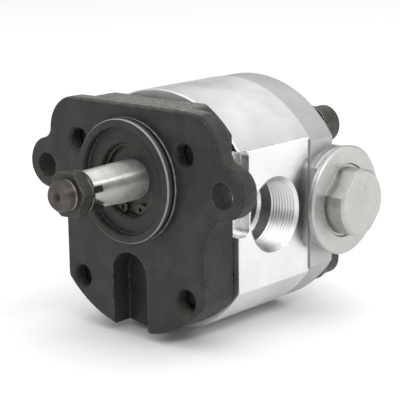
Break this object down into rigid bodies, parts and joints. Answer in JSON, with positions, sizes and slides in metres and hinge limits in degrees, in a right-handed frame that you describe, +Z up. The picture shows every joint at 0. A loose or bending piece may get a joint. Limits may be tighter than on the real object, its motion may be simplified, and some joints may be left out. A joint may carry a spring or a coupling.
{
  "type": "hydraulic gear pump",
  "caption": "Flange-mounted external gear pump with a keyed, threaded drive shaft, side suction port and a plugged port on the rear cover.",
  "frame": {"origin": "where the drive shaft axis meets the flange's mounting face", "axes": "+Y along the shaft into the pump, away from the shaft's free end; +Z up, from the driven gear to the drive gear; +X towards the suction port and the plugged port"},
  "size_m": [0.1196, 0.1433, 0.1012],
  "materials": {
    "flange_paint": "satin",
    "body_aluminium": "satin",
    "cover_aluminium": "matte",
    "plug_metal": "satin",
    "ground_steel": "polished",
    "black_steel": "satin",
    "spring_steel": "satin",
    "black_rubber": "matte",
    "white_plastic": "matte",
    "bearing_bronze": "satin"
  },
  "bodies": {
    "housing": {"front_flange": "flange_paint", "pump_body": "body_aluminium", "rear_cover": "cover_aluminium", "front_bearing_block": "body_aluminium", "rear_bearing_block": "body_aluminium", "front_drive_bearing_sleeve": "bearing_bronze", "front_driven_bearing_sleeve": "bearing_bronze", "rear_drive_bearing_sleeve": "bearing_bronze", "rear_driven_bearing_sleeve": "bearing_bronze", "front_body_seal": "black_rubber", "rear_body_seal": "black_rubber", "front_pressure_seal": "black_rubber", "rear_pressure_seal": "black_rubber", "front_backup_ring": "white_plastic", "rear_backup_ring": "white_plastic", "shaft_seal_case": "black_steel", "shaft_seal_lip": "black_rubber", "seal_garter_spring": "spring_steel", "seal_retaining_ring": "black_steel", "pilot_oring": "black_rubber", "tie_bolts": "black_steel", "tie_bolt_washers": "spring_steel", "front_locating_dowels": "ground_steel", "rear_locating_dowels": "ground_steel", "port_plug": "plug_metal", "port_plug_seal": "black_rubber"},
    "drive_rotor": {"drive_gear_shaft": "ground_steel", "woodruff_key": "ground_steel", "shaft_nut": "black_steel", "tab_washer": "spring_steel"},
    "driven_rotor": {"driven_gear_shaft": "ground_steel"}
  },
  "joints": [
    {"name": "drive_shaft_spin", "type": "hinge", "parent": "housing", "child": "drive_rotor", "pos_m": [0, 0.04145, 0], "axis": [0, 1, 0], "continuous": true},
    {"name": "driven_gear_spin", "type": "hinge", "parent": "housing", "child": "driven_rotor", "pos_m": [0, 0.04145, -0.0322], "axis": [0, 1, 0], "continuous": true}
  ],
  "couplings": [
    {"joint": "driven_gear_spin", "follows": "drive_shaft_spin", "ratio": -1}
  ]
}
